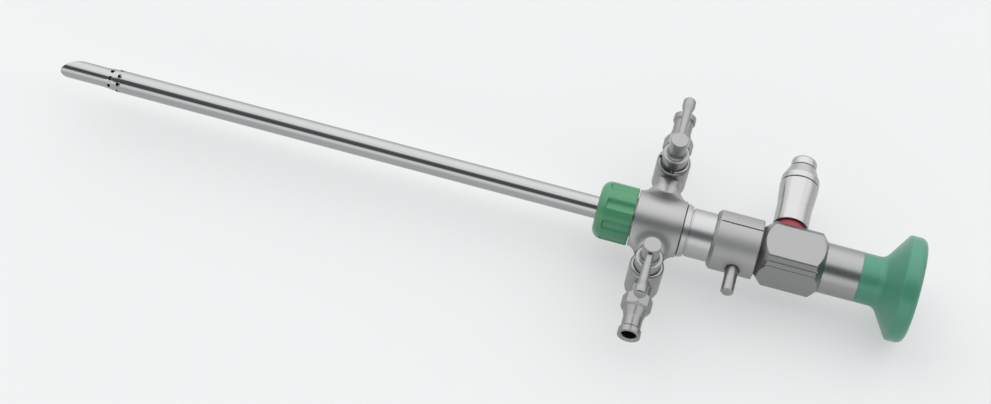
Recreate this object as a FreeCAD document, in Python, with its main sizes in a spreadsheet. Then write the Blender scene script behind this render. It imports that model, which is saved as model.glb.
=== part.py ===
import FreeCAD, Part
import os
import Sketcher

# An arthroscope sheath: a thin steel tube with two stopcocks on a turning hub, and the telescope that
# is locked into it. +X runs along the tube towards the eyepiece, +Y is the side of the light post and +Z
# the side of the levers. The origin is the centre of the eyepiece's rim. Lengths are in millimetres and
# angles in degrees.

Vector = FreeCAD.Vector
Rotation = FreeCAD.Rotation
Placement = FreeCAD.Placement

UPRIGHT = Vector(0, 0, 1)
FULL_TURN = 360
LYING_ALONG_X = Rotation(Vector(0, 1, 0), 90)
CLOSE = 0.001

SIZES = {
    # clearances, and how far a cutting outline runs past the metal
    "seam": 0.1,
    "end_gap": 0.3,
    "fixed_fit": 0.02,
    "running_fit": 0.05,
    "overrun": 1.0,
    # sheath tube
    "tube_reach": 162.6,
    "tube_radius": 3.3,
    "tube_wall": 0.3,
    "nose_tube_radius": 2.9,
    "nose_tube_length": 13.2,
    "nose_cone_length": 4.1,
    "bevel_length": 8.5,
    "bevel_turn": -30.0,
    "flow_hole_radius": 0.65,
    "flow_hole_count": 8,
    "first_row": 15.0,
    "second_row": 17.6,
    "first_row_turn": 32.0,
    "row_stagger": 22.5,
    # clamping collar
    "collar_length": 10.75,
    "collar_radius": 8.55,
    "collar_rounding": 3.0,
    "collar_edge": 0.35,
    "flute_count": 8,
    "flute_radius": 2.7,
    "flute_depth": 0.7,
    "flute_start": 1.3,
    "flute_nose": 1.4,
    "flute_turn": 17.9,
    # sleeve that carries the hub, the lock and the telescope
    "thread_length": 8.0,
    "thread_radius": 5.2,
    "tube_seat": 10.0,
    "flow_radius": 3.6,
    "seat_radius": 5.8,
    "seal_offset": 4.9,
    "seal_section": 0.45,
    "seal_groove": 0.9,
    "seal_groove_width": 1.2,
    "port_hole_radius": 1.1,
    "port_hole_count": 6,
    "neck_length": 7.2,
    "neck_radius": 7.2,
    "neck_groove_width": 0.45,
    "neck_groove_radius": 6.8,
    "nose_radius": 6.6,
    "socket_depth": 14.0,
    "key_width": 2.3,
    "key_depth": 2.2,
    "clip_station": 3.2,
    "clip_section": 0.4,
    "clip_groove_depth": 0.45,
    "clip_opening": 25.0,
    "stop_slot_depth": 0.6,
    # thrust ring
    "thrust_length": 1.85,
    "thrust_radius": 8.0,
    "thrust_rear_radius": 7.5,
    "thrust_edge": 0.3,
    # turning hub
    "hub_length": 14.2,
    "hub_radius": 8.35,
    "hub_edge": 0.35,
    "chamber_radius": 6.9,
    "chamber_half_width": 2.4,
    "boss_top": 11.7,
    "boss_radius": 4.1,
    "boss_flare": 2.4,
    "passage_radius": 1.5,
    "joint_radius": 2.7,
    "joint_depth": 2.4,
    # stopcocks
    "stopcock_reach": 18.55,
    "port_neck_radius": 3.9,
    "barrel_outer_radius": 5.0,
    "barrel_above": 6.6,
    "barrel_below": 5.8,
    "barrel_rounding": 1.3,
    "barrel_lower_edge": 0.5,
    "rim_depth": 2.3,
    "rim_bore_radius": 4.0,
    "plug_top_radius": 3.15,
    "plug_foot_radius": 2.6,
    "plug_fit": 0.04,
    "plug_recess": 0.3,
    "plug_disc_radius": 3.85,
    "plug_disc_top": 10.4,
    "plug_disc_edge": 0.12,
    "plug_flare": 1.1,
    "plug_head_radius": 2.6,
    "plug_head_top": 17.4,
    "plug_head_edge": 0.3,
    "plug_stem_radius": 1.5,
    "lever_height": 15.35,
    "lever_start": 0.6,
    "lever_root_radius": 1.1,
    "lever_neck_radius": 1.4,
    "lever_tip_radius": 1.9,
    "lever_neck": 11.0,
    "lever_swell": 1.9,
    "lever_length": 15.6,
    "lever_rounding": 1.1,
    "stop_pin_radius": 0.4,
    "stop_pin_root": 2.9,
    "stop_pin_tip": 4.4,
    "stop_recess_radius": 4.6,
    "stop_recess_depth": 0.95,
    "lever_travel": 90.0,
    "stub_radius": 3.4,
    "stub_reach": 7.0,
    "spring_radius": 3.2,
    "spring_thickness": 0.3,
    "spring_rise": 0.35,
    "nut_sides": 6,
    "nut_width": 5.6,
    "nut_thickness": 1.7,
    # hose connectors
    "connector_face_radius": 3.5,
    "connector_step": 0.5,
    "connector_chamfer": 0.6,
    "connector_flat_count": 8,
    "connector_flats_length": 3.3,
    "connector_corner_radius": 4.4,
    "connector_flat_radius": 4.1,
    "connector_waist_radius": 2.85,
    "connector_taper": 2.7,
    "connector_waist_length": 3.45,
    "connector_lip_radius": 3.35,
    "connector_lip_length": 1.75,
    "connector_lip_edge": 0.6,
    "socket_radius": 2.15,
    "socket_length": 8.0,
    "mouth_radius": 2.55,
    # lock ring
    "lock_length": 13.6,
    "lock_radius": 8.8,
    "lock_front_chamfer": 0.9,
    "lock_edge": 0.3,
    "flange_length": 2.1,
    "index_width": 0.5,
    "index_depth": 0.35,
    "index_start": 1.2,
    "index_turn": 7.0,
    "lock_travel": 40.0,
    "pin_station": 7.6,
    "pin_radius": 1.9,
    "pin_reach": 16.9,
    "pin_chamfer": 0.45,
    "pin_shank_radius": 0.9,
    "pin_recess_radius": 2.4,
    "pin_recess_depth": 0.55,
    # telescope tube and optics
    "scope_radius": 2.0,
    "scope_wall": 0.25,
    "scope_recess": 0.4,
    "lens_tube_radius": 1.4,
    "lens_tube_wall": 0.22,
    "rod_count": 6,
    "rod_gap": 4.0,
    "rod_start": 12.0,
    "rod_end": 18.0,
    "tip_lens_length": 3.0,
    "spigot_radius": 5.5,
    "spigot_cone": 3.0,
    "spigot_nose_radius": 2.6,
    "spigot_seal_setback": 5.5,
    "bayonet_radius": 0.95,
    "bayonet_reach": 6.45,
    # telescope body
    "block_sides": 4,
    "block_length": 19.05,
    "block_half": 7.95,
    "corner_cut": 2.65,
    "front_cone_radius": 6.9,
    "front_cone_length": 3.0,
    "rear_cone_radius": 7.3,
    "rear_cone_length": 2.2,
    "turned_reach": 9.6,
    "groove_width": 0.6,
    "groove_depth": 0.45,
    "edge_groove_width": 0.4,
    "edge_groove_depth": 0.35,
    "edge_groove_offset": 1.6,
    # light post
    "post_station": 7.5,
    "stem_radius": 4.46,
    "stem_length": 0.4,
    "ring_groove_length": 2.0,
    "ring_groove_radius": 3.95,
    "stem_shank_radius": 3.0,
    "stem_shank_length": 9.0,
    "stem_spigot_radius": 3.2,
    "stem_spigot_length": 1.5,
    "fibre_radius": 1.95,
    "adapter_root_radius": 5.25,
    "adapter_straight": 7.1,
    "adapter_swell_radius": 5.78,
    "adapter_swell": 13.6,
    "adapter_length": 14.8,
    "adapter_edge": 0.2,
    "adapter_gap": 0.3,
    "tip_base_radius": 5.7,
    "tip_band_length": 1.9,
    "tip_cone_radius": 4.25,
    "tip_cone_length": 3.6,
    "tip_groove_radius": 3.6,
    "tip_groove_length": 0.7,
    "tip_lip_radius": 3.85,
    "tip_lip_length": 3.2,
    "tip_rounding": 1.4,
    "tip_shank_radius": 2.9,
    "tip_shank_length": 3.0,
    # ocular barrel and eyepiece
    "ocular_length": 10.55,
    "ocular_radius": 7.4,
    "ocular_wall": 1.3,
    "ocular_spigot_radius": 6.3,
    "ocular_spigot_length": 4.0,
    "ocular_lens_count": 2,
    "ocular_lens_edge": 1.0,
    "ocular_lens_bulge": 0.9,
    "ocular_lens_spacing": 6.0,
    "ocular_lens_start": 3.0,
    "stop_bore": 1.6,
    "stop_thickness": 0.6,
    "cup_length": 16.9,
    "cup_radius": 7.35,
    "rim_radius": 15.6,
    "rim_setback": 3.44,
    "cup_flank_start": 6.3,
    "cup_flank_end": 11.8,
    "cup_flank_rounding": 3.0,
    "cup_shoulder_rounding": 0.8,
    "cup_rear_rounding": 2.2,
    "dish_radius": 13.0,
    "dish_depth": 6.0,
    "dish_floor_radius": 7.0,
    "window_radius": 5.4,
    "window_thickness": 1.2,
    "window_ring_height": 1.0,
    "window_opening": 4.4,
}

doc = FreeCAD.newDocument("arthroscope_sheath")
sheet = doc.addObject("Spreadsheet::Sheet", "Sizes")
for row, (alias, number) in enumerate(SIZES.items(), 1):
    sheet.set(f"A{row}", alias)
    sheet.set(f"B{row}", str(number))
    sheet.setAlias(f"B{row}", alias)
doc.recompute()


def value(expression):
    """the number that an expression of the sheet's sizes comes to"""
    return float(sheet.evalExpression(expression))


def total(*terms):
    """the sum of several expressions"""
    return "(" + " + ".join(terms) + ")"


def less(first, *terms):
    """the first expression less the others"""
    return "(" + " - ".join((first,) + terms) + ")"


# Stations along the main axis, counted from the rim of the eyepiece
CUP_FRONT = "(Sizes.rim_setback - Sizes.cup_length)"
OCULAR_FRONT = less(CUP_FRONT, "Sizes.ocular_length")
BLOCK_FRONT = less(OCULAR_FRONT, "Sizes.block_length")
LOCK_FRONT = less(BLOCK_FRONT, "Sizes.seam", "Sizes.lock_length")
NECK_FRONT = less(LOCK_FRONT, "Sizes.seam", "Sizes.neck_length")
THRUST_FRONT = less(NECK_FRONT, "Sizes.thrust_length")
HUB_CENTRE = less(THRUST_FRONT, "Sizes.seam", "Sizes.hub_length / 2")
COLLAR_REAR = less(HUB_CENTRE, "Sizes.hub_length / 2", "Sizes.end_gap")
COLLAR_FRONT = less(COLLAR_REAR, "Sizes.collar_length")
SLEEVE_FRONT = less(COLLAR_REAR, "Sizes.thread_length")
TIP = less(COLLAR_FRONT, "Sizes.tube_reach")
POST_AXIS = total(BLOCK_FRONT, "Sizes.post_station")


def origin_part(body, role):
    """one of a body's own origin planes or axes"""
    return next(part for part in body.Origin.OriginFeatures if part.Role == role)


def new_body(label, along="0", across="0", up="0", turn=0.0):
    """an empty body for one piece, turned about the upright axis and placed by expressions"""
    body = doc.addObject("PartDesign::Body", label)
    body.Label = label
    body.Placement = Placement(Vector(), Rotation(UPRIGHT, turn))
    for name, expression in zip("xyz", (along, across, up)):
        body.setExpression(f"Placement.Base.{name}", expression)
    return body


def new_sketch(body, plane, turned_by=None, turn_axis=Vector(1, 0, 0)):
    """an empty sketch on one of the body's own planes, turned about an axis of the sketch where asked"""
    sketch = body.newObject("Sketcher::SketchObject", "outline")
    sketch.AttachmentSupport = [(origin_part(body, plane), "")]
    sketch.MapMode = "FlatFace"
    if turned_by is not None:
        sketch.AttachmentOffset = Placement(Vector(), Rotation(turn_axis, value(turned_by)))
        sketch.setExpression("AttachmentOffset.Rotation.Angle", turned_by)
    return sketch


def lift(sketch, height):
    """moves a sketch along its own normal"""
    sketch.AttachmentOffset = Placement(Vector(0, 0, value(height)), sketch.AttachmentOffset.Rotation)
    sketch.setExpression("AttachmentOffset.Base.z", height)


def arc_between(start, end, centre_x):
    """the shorter arc from start to end whose centre lies at centre_x, and whether it runs anticlockwise"""
    centre_y = (end[0] - centre_x) ** 2 - (start[0] - centre_x) ** 2 + end[1] ** 2 - start[1] ** 2
    centre_y /= 2 * (end[1] - start[1])
    centre = Vector(centre_x, centre_y, 0)
    to_start = Vector(*start, 0) - centre
    to_end = Vector(*end, 0) - centre
    anticlockwise = to_start.cross(to_end).z > 0
    circle = Part.Circle(centre, UPRIGHT, to_start.Length)
    first, last = (start, end) if anticlockwise else (end, start)
    return Part.ArcOfCircle(
        circle, circle.parameter(Vector(*first, 0)), circle.parameter(Vector(*last, 0))
    ), anticlockwise


def draw_outline(sketch, corners):
    """a closed outline of straight runs and arcs, with every corner held by the sizes

    A corner is a pair of expressions. A third one is the place of the centre, along the sketch's x axis,
    of the arc that comes to that corner from the corner before it.
    """
    points = [(value(corner[0]), value(corner[1])) for corner in corners]
    starts = []
    ends = []
    for number, corner in enumerate(corners):
        start, end = points[number - 1], points[number]
        if len(corner) == 3:
            arc, anticlockwise = arc_between(start, end, value(corner[2]))
            edge = sketch.addGeometry(arc, False)
            starts.append((edge, 1 if anticlockwise else 2))
            ends.append((edge, 2 if anticlockwise else 1))
        else:
            edge = sketch.addGeometry(Part.LineSegment(Vector(*start, 0), Vector(*end, 0)), False)
            starts.append((edge, 1))
            ends.append((edge, 2))
    for number, corner in enumerate(corners):
        following = (number + 1) % len(corners)
        sketch.addConstraint(Sketcher.Constraint("Coincident", *ends[number], *starts[following]))
        held = [("DistanceX", ends[number], 0), ("DistanceY", ends[number], 1)]
        if len(corner) == 3:
            held.append(("DistanceX", (ends[number][0], 3), 2))
        for kind, point, place in held:
            constraint = Sketcher.Constraint(kind, -1, 1, *point, value(corner[place]))
            index = sketch.addConstraint(constraint)
            sketch.setExpression(f"Constraints[{index}]", corner[place])


def draw_circle(sketch, along, up, radius):
    """a circle held by the sizes"""
    centre = Vector(value(along), value(up), 0)
    edge = sketch.addGeometry(Part.Circle(centre, UPRIGHT, value(radius)), False)
    for kind, expression in (("DistanceX", along), ("DistanceY", up)):
        index = sketch.addConstraint(Sketcher.Constraint(kind, -1, 1, edge, 3, value(expression)))
        sketch.setExpression(f"Constraints[{index}]", expression)
    index = sketch.addConstraint(Sketcher.Constraint("Radius", edge, value(radius)))
    sketch.setExpression(f"Constraints[{index}]", radius)


def draw_axis(sketch, start, end, height):
    """a construction line along the sketch's x axis that a feature can turn about"""
    ends = (Vector(value(start), value(height), 0), Vector(value(end), value(height), 0))
    edge = sketch.addGeometry(Part.LineSegment(*ends), True)
    for point, along in ((1, start), (2, end)):
        for kind, expression in (("DistanceX", along), ("DistanceY", height)):
            index = sketch.addConstraint(Sketcher.Constraint(kind, -1, 1, edge, point, value(expression)))
            sketch.setExpression(f"Constraints[{index}]", expression)


def turn_sketch(body, sketch, kind, about="H_Axis"):
    """turns a sketch all the way round one of its axes, as metal or as a cut"""
    feature = body.newObject(kind, "turning")
    feature.Profile = sketch
    feature.ReferenceAxis = (sketch, [about])
    feature.Angle = FULL_TURN
    doc.recompute()
    return feature


def turn_part_way(body, sketch, angle, about="H_Axis"):
    """cuts a sketch part of the way round one of its axes, to the same angle on both sides of its plane"""
    cut = body.newObject("PartDesign::Groove", "part_turn")
    cut.Profile = sketch
    cut.ReferenceAxis = (sketch, [about])
    cut.Midplane = True
    cut.Angle = value(angle)
    cut.setExpression("Angle", angle)
    doc.recompute()
    return cut


def revolve(body, corners, plane="XY_Plane", about="H_Axis", kind="PartDesign::Revolution"):
    """turns an outline all the way round an axis of the body"""
    sketch = new_sketch(body, plane)
    draw_outline(sketch, corners)
    return turn_sketch(body, sketch, kind, about)


def cut_round(body, corners, plane="XY_Plane", about="H_Axis"):
    """turns an outline round an axis to cut a bore, a groove or a turned end"""
    return revolve(body, corners, plane, about, "PartDesign::Groove")


def pad(body, sketch, length):
    """raises a sketch into a solid along the sketch's normal"""
    feature = body.newObject("PartDesign::Pad", "pad")
    feature.Profile = sketch
    feature.Length = value(length)
    feature.setExpression("Length", length)
    doc.recompute()
    return feature


def pocket(body, sketch, length=None, reverse=False, both_ways=False):
    """cuts a sketch into the body, right through where no length is given"""
    feature = body.newObject("PartDesign::Pocket", "pocket")
    feature.Profile = sketch
    if length is None:
        feature.Type = "ThroughAll"
    else:
        feature.Length = value(length)
        feature.setExpression("Length", length)
    feature.Reversed = reverse
    feature.Midplane = both_ways
    doc.recompute()
    return feature


def repeat_round(body, feature, count, role="X_Axis"):
    """repeats a feature round one of the body's axes"""
    pattern = body.newObject("PartDesign::PolarPattern", "pattern")
    pattern.Originals = [feature]
    pattern.Axis = (origin_part(body, role), [""])
    pattern.Angle = FULL_TURN
    pattern.Occurrences = int(value(count))
    pattern.setExpression("Occurrences", count)
    body.Tip = pattern
    doc.recompute()
    return pattern


def mirror(body, feature, role):
    """repeats a feature on the other side of one of the body's planes"""
    mirrored = body.newObject("PartDesign::Mirrored", "mirror")
    mirrored.Originals = [feature]
    mirrored.MirrorPlane = (origin_part(body, role), [""])
    body.Tip = mirrored
    doc.recompute()
    return mirrored


def round_edges(shape, axis, circles):
    """names of the whole circles at the given (along, out) pairs about an axis"""
    names = []
    for number, edge in enumerate(shape.Edges, 1):
        if not isinstance(edge.Curve, Part.Circle) or not edge.isClosed():
            continue
        for along, out in circles:
            apart = edge.Curve.Center.distanceToPoint(axis * value(along))
            if apart < CLOSE and abs(edge.Curve.Radius - value(out)) < CLOSE:
                names.append(f"Edge{number}")
    return names


def crossing_edges(shape):
    """names of the edges where two round surfaces cross, which are neither straight nor circles"""
    names = []
    for number, edge in enumerate(shape.Edges, 1):
        if not isinstance(edge.Curve, (Part.Line, Part.Circle)):
            names.append(f"Edge{number}")
    return names


def soften(body, names, size, kind="PartDesign::Fillet"):
    """rounds or chamfers the named edges of a body"""
    base = body.Tip
    feature = body.newObject(kind, "edges")
    feature.Base = (base, names)
    prop = "Radius" if kind == "PartDesign::Fillet" else "Size"
    setattr(feature, prop, value(size))
    feature.setExpression(prop, size)
    doc.recompute()
    return feature


def round_off(body, radius, circles, kind="PartDesign::Fillet", axis=Vector(1, 0, 0)):
    """rounds the circular edges at the given (along, out) pairs about an axis of the body"""
    return soften(body, round_edges(body.Tip.Shape, axis, circles), radius, kind)


def round_off_upright(body, radius, circles):
    """rounds the circular edges at the given (up, out) pairs about the body's upright axis"""
    return round_off(body, radius, circles, axis=UPRIGHT)


def tube(label, along, length, radius, bore, across="0", up="0", turn=0.0):
    """a plain turned tube about the body's X axis"""
    body = new_body(label, along, across, up, turn)
    revolve(body, [("0", bore), (length, bore), (length, radius), ("0", radius)])
    return body


def cut_bevel(body, radius):
    """cuts the oblique end: the long side lies opposite the bevel's side, the short side is set back"""
    sketch = new_sketch(body, "XY_Plane", "Sizes.bevel_turn")
    slope = "(Sizes.bevel_length / Sizes.nose_tube_radius / 2)"
    beyond = f"({radius} + Sizes.overrun)"
    draw_outline(sketch, [
        ("0", f"-{radius}"),
        (f"{slope} * ({radius} + {beyond})", beyond),
        ("0", beyond),
    ])
    return pocket(body, sketch, both_ways=True)


def flow_holes(body, station, turn):
    """a row of round holes through the tube's wall"""
    sketch = new_sketch(body, "XY_Plane", turn)
    draw_circle(sketch, station, "0", "Sizes.flow_hole_radius")
    hole = pocket(body, sketch, "Sizes.tube_radius + Sizes.overrun", reverse=True)
    return repeat_round(body, hole, "Sizes.flow_hole_count")


# Sheath


def sheath_tube():
    """the long tube: a thinner nose, a cone, and two rows of flow holes round the cone"""
    body = new_body("sheath_tube", TIP)
    end = total("Sizes.tube_reach", "Sizes.collar_length", "-Sizes.thread_length", "Sizes.tube_seat")
    cone_end = total("Sizes.nose_tube_length", "Sizes.nose_cone_length")
    inner = "Sizes.tube_radius - Sizes.tube_wall"
    nose_inner = "Sizes.nose_tube_radius - Sizes.tube_wall"
    revolve(body, [
        ("0", nose_inner),
        ("Sizes.nose_tube_length", nose_inner),
        (cone_end, inner),
        (end, inner),
        (end, "Sizes.tube_radius"),
        (cone_end, "Sizes.tube_radius"),
        ("Sizes.nose_tube_length", "Sizes.nose_tube_radius"),
        ("0", "Sizes.nose_tube_radius"),
    ])
    cut_bevel(body, "Sizes.nose_tube_radius")
    flow_holes(body, "Sizes.first_row", "Sizes.first_row_turn")
    flow_holes(body, "Sizes.second_row", "Sizes.first_row_turn + Sizes.row_stagger")
    return body


def clamp_collar():
    """the fluted cap that screws on the sleeve and keeps the hub in place"""
    body = new_body("clamp_collar", COLLAR_FRONT)
    wall = less("Sizes.collar_length", "Sizes.thread_length", "Sizes.end_gap")
    tube_hole = "Sizes.tube_radius + Sizes.running_fit"
    thread_hole = "Sizes.thread_radius + Sizes.fixed_fit"
    revolve(body, [
        ("0", tube_hole),
        (wall, tube_hole),
        (wall, thread_hole),
        ("Sizes.collar_length", thread_hole),
        ("Sizes.collar_length", "Sizes.collar_radius"),
        ("0", "Sizes.collar_radius"),
    ])
    round_off(body, "Sizes.collar_rounding", [("0", "Sizes.collar_radius")])
    round_off(body, "Sizes.collar_edge", [("Sizes.collar_length", "Sizes.collar_radius")])
    flute = new_sketch(body, "XY_Plane", "Sizes.flute_turn")
    centre = "(Sizes.collar_radius + Sizes.flute_radius - Sizes.flute_depth)"
    behind = "(Sizes.collar_length + Sizes.overrun)"
    draw_outline(flute, [
        ("Sizes.flute_start", centre),
        ("Sizes.flute_start + Sizes.flute_nose", f"{centre} - Sizes.flute_radius"),
        (behind, f"{centre} - Sizes.flute_radius"),
        (behind, centre),
    ])
    draw_axis(flute, "Sizes.flute_start", behind, centre)
    cut = turn_sketch(body, flute, "PartDesign::Groove", "Axis0")
    repeat_round(body, cut, "Sizes.flute_count")
    return body


def seal_groove(centre):
    """the corners of a seal's groove in the sleeve's seat, from rear to front"""
    half = "Sizes.seal_groove_width / 2"
    floor = "Sizes.seat_radius - Sizes.seal_groove"
    return [
        (f"{centre} + {half}", "Sizes.seat_radius"),
        (f"{centre} + {half}", floor),
        (f"{centre} - {half}", floor),
        (f"{centre} - {half}", "Sizes.seat_radius"),
    ]


def sleeve():
    """the turned core: thread, hub seat with two seal grooves, neck, and the nose under the lock ring"""
    body = new_body("sleeve", SLEEVE_FRONT)
    shoulder = "Sizes.thread_length"
    hub_middle = total(shoulder, "Sizes.end_gap", "Sizes.hub_length / 2")
    neck_start = total(hub_middle, "Sizes.hub_length / 2", "Sizes.seam", "Sizes.thrust_length")
    nose_start = total(neck_start, "Sizes.neck_length")
    lock_end = total(nose_start, "Sizes.seam", "Sizes.lock_length")
    nose_end = less(lock_end, "Sizes.flange_length", "Sizes.end_gap")
    socket_start = less(nose_end, "Sizes.socket_depth")
    tube_seat = "Sizes.tube_radius + Sizes.fixed_fit"
    socket = "Sizes.spigot_radius + Sizes.running_fit"
    clip_rear = total(nose_start, "Sizes.clip_station", "Sizes.clip_section")
    clip_front = total(nose_start, "Sizes.clip_station", "-Sizes.clip_section")
    clip_floor = "Sizes.nose_radius - Sizes.clip_groove_depth"
    groove_end = total(neck_start, "Sizes.neck_groove_width")
    revolve(body, [
        ("0", tube_seat),
        ("Sizes.tube_seat", tube_seat),
        ("Sizes.tube_seat", "Sizes.flow_radius"),
        (socket_start, "Sizes.flow_radius"),
        (socket_start, socket),
        (nose_end, socket),
        (nose_end, "Sizes.nose_radius"),
        (clip_rear, "Sizes.nose_radius"),
        (clip_rear, clip_floor),
        (clip_front, clip_floor),
        (clip_front, "Sizes.nose_radius"),
        (nose_start, "Sizes.nose_radius"),
        (nose_start, "Sizes.neck_radius"),
        (groove_end, "Sizes.neck_radius"),
        (groove_end, "Sizes.neck_groove_radius"),
        (neck_start, "Sizes.neck_groove_radius"),
        (neck_start, "Sizes.seat_radius"),
        *seal_groove(f"({hub_middle} + Sizes.seal_offset)"),
        *seal_groove(f"({hub_middle} - Sizes.seal_offset)"),
        (shoulder, "Sizes.seat_radius"),
        (shoulder, "Sizes.thread_radius"),
        ("0", "Sizes.thread_radius"),
    ])
    holes = new_sketch(body, "XY_Plane")
    draw_circle(holes, hub_middle, "0", "Sizes.port_hole_radius")
    hole = pocket(body, holes, "Sizes.seat_radius + Sizes.overrun", reverse=True)
    repeat_round(body, hole, "Sizes.port_hole_count")
    keyway = new_sketch(body, "XY_Plane")
    draw_outline(keyway, [
        (less(nose_end, "Sizes.key_depth"), "-Sizes.key_width / 2"),
        (total(nose_end, "Sizes.overrun"), "-Sizes.key_width / 2"),
        (total(nose_end, "Sizes.overrun"), "Sizes.key_width / 2"),
        (less(nose_end, "Sizes.key_depth"), "Sizes.key_width / 2"),
    ])
    pocket(body, keyway, "Sizes.nose_radius + Sizes.overrun", reverse=True)
    slot = new_sketch(body, "XY_Plane", "180 - Sizes.lock_travel / 2")
    pin = total(nose_start, "Sizes.seam", "Sizes.pin_station")
    reach = "(Sizes.pin_shank_radius + Sizes.running_fit)"
    slot_floor = "Sizes.nose_radius - Sizes.stop_slot_depth"
    draw_outline(slot, [
        (f"{pin} - {reach}", slot_floor),
        (f"{pin} + {reach}", slot_floor),
        (f"{pin} + {reach}", "Sizes.nose_radius + Sizes.overrun"),
        (f"{pin} - {reach}", "Sizes.nose_radius + Sizes.overrun"),
    ])
    pin_angle = "asin((Sizes.pin_shank_radius + Sizes.end_gap) / Sizes.nose_radius) / (1 deg)"
    turn_part_way(body, slot, f"Sizes.lock_travel + 2 * {pin_angle}")
    return body


def o_ring(label, along, groove_floor):
    """a round-section seal ring that sits on the floor of its groove"""
    ring = doc.addObject("Part::Torus", label)
    ring.Label = label
    ring.setExpression("Radius1", f"{groove_floor} + Sizes.seal_section")
    ring.setExpression("Radius2", "Sizes.seal_section")
    ring.Placement = Placement(Vector(), LYING_ALONG_X)
    ring.setExpression("Placement.Base.x", along)
    return ring


def group(label, members):
    """several separate solids that share one node"""
    compound = doc.addObject("Part::Compound", label)
    compound.Label = label
    compound.Links = members
    return compound


def hub_seals():
    """the two seal rings that the hub turns on"""
    floor = "Sizes.seat_radius - Sizes.seal_groove"
    front = o_ring("front_hub_seal", f"{HUB_CENTRE} - Sizes.seal_offset", floor)
    rear = o_ring("rear_hub_seal", f"{HUB_CENTRE} + Sizes.seal_offset", floor)
    return group("hub_seals", [front, rear])


def thrust_ring():
    """the bright ring between the hub and the neck"""
    body = new_body("thrust_ring", THRUST_FRONT)
    bore = "Sizes.seat_radius + Sizes.fixed_fit"
    revolve(body, [
        ("0", bore),
        ("Sizes.thrust_length", bore),
        ("Sizes.thrust_length", "Sizes.thrust_rear_radius"),
        ("0", "Sizes.thrust_radius"),
    ])
    round_off(body, "Sizes.thrust_edge", [
        ("0", "Sizes.thrust_radius"),
        ("Sizes.thrust_length", "Sizes.thrust_rear_radius"),
    ])
    return body


def lock_clip():
    """the open wire ring that keeps the lock ring from sliding off the nose"""
    along = total(LOCK_FRONT, "-Sizes.seam", "Sizes.clip_station")
    body = new_body("lock_clip", along)
    wire = "(Sizes.clip_section - Sizes.running_fit)"
    centre = f"(Sizes.nose_radius - Sizes.clip_groove_depth + Sizes.running_fit + {wire})"
    sketch = new_sketch(body, "XY_Plane")
    draw_circle(sketch, "0", centre, wire)
    ring = turn_sketch(body, sketch, "PartDesign::Revolution")
    ring.setExpression("Angle", f"{FULL_TURN} - Sizes.clip_opening")
    doc.recompute()
    return body


# Lock


def lock_ring():
    """the ring that holds the telescope, with a notched flange that closes behind the bayonet pin"""
    body = new_body("lock_ring", LOCK_FRONT)
    bore = "Sizes.nose_radius + Sizes.running_fit"
    flange_front = less("Sizes.lock_length", "Sizes.flange_length")
    flange_bore = "Sizes.spigot_radius + 2 * Sizes.running_fit"
    clip_middle = less("Sizes.clip_station", "Sizes.seam")
    clip_half = "(Sizes.clip_section + Sizes.running_fit)"
    clip_roof = f"Sizes.nose_radius - Sizes.clip_groove_depth + 2 * {clip_half}"
    revolve(body, [
        ("0", bore),
        (f"{clip_middle} - {clip_half}", bore),
        (f"{clip_middle} - {clip_half}", clip_roof),
        (f"{clip_middle} + {clip_half}", clip_roof),
        (f"{clip_middle} + {clip_half}", bore),
        (flange_front, bore),
        (flange_front, flange_bore),
        ("Sizes.lock_length", flange_bore),
        ("Sizes.lock_length", "Sizes.lock_radius - Sizes.lock_edge"),
        ("Sizes.lock_length - Sizes.lock_edge", "Sizes.lock_radius"),
        ("Sizes.lock_front_chamfer", "Sizes.lock_radius"),
        ("0", "Sizes.lock_radius - Sizes.lock_front_chamfer"),
    ])
    notch = new_sketch(body, "XY_Plane")
    draw_outline(notch, [
        (less(flange_front, "Sizes.overrun"), "-Sizes.key_width / 2"),
        (total("Sizes.lock_length", "Sizes.overrun"), "-Sizes.key_width / 2"),
        (total("Sizes.lock_length", "Sizes.overrun"), "Sizes.key_width / 2"),
        (less(flange_front, "Sizes.overrun"), "Sizes.key_width / 2"),
    ])
    pocket(body, notch, "Sizes.bayonet_reach + 2 * Sizes.running_fit", reverse=True)
    index = new_sketch(body, "YZ_Plane", "Sizes.index_turn", -UPRIGHT)
    depth = "Sizes.lock_radius - Sizes.index_depth"
    draw_outline(index, [
        ("-Sizes.index_width / 2", depth),
        ("Sizes.index_width / 2", depth),
        ("Sizes.index_width / 2", "Sizes.lock_radius + Sizes.overrun"),
        ("-Sizes.index_width / 2", "Sizes.lock_radius + Sizes.overrun"),
    ])
    lift(index, "Sizes.index_start")
    pocket(body, index, "Sizes.lock_length", reverse=True)
    recess = new_sketch(body, "XZ_Plane")
    draw_circle(recess, "Sizes.pin_station", "0", "Sizes.pin_recess_radius")
    lift(recess, "Sizes.lock_radius - Sizes.pin_recess_depth")
    pocket(body, recess, "Sizes.lock_radius", reverse=True)
    hole = new_sketch(body, "XZ_Plane")
    draw_circle(hole, "Sizes.pin_station", "0", "Sizes.pin_shank_radius + Sizes.fixed_fit")
    pocket(body, hole, "Sizes.lock_radius + Sizes.overrun", reverse=True)
    return body


def lock_pin():
    """the pin that the thumb turns the lock ring by; its shank runs in the nose's stop slot"""
    along = total(LOCK_FRONT, "Sizes.pin_station")
    foot = "(Sizes.nose_radius - Sizes.stop_slot_depth + Sizes.running_fit * 2)"
    body = new_body("lock_pin", along, turn=-90.0)
    seat = "(Sizes.lock_radius - Sizes.pin_recess_depth)"
    revolve(body, [
        (foot, "0"),
        (foot, "Sizes.pin_shank_radius"),
        (seat, "Sizes.pin_shank_radius"),
        (seat, "Sizes.pin_radius"),
        ("Sizes.pin_reach", "Sizes.pin_radius"),
        ("Sizes.pin_reach", "0"),
    ])
    round_off(body, "Sizes.pin_chamfer", [("Sizes.pin_reach", "Sizes.pin_radius")], "PartDesign::Chamfer")
    return body


# Turning hub and stopcocks


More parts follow.
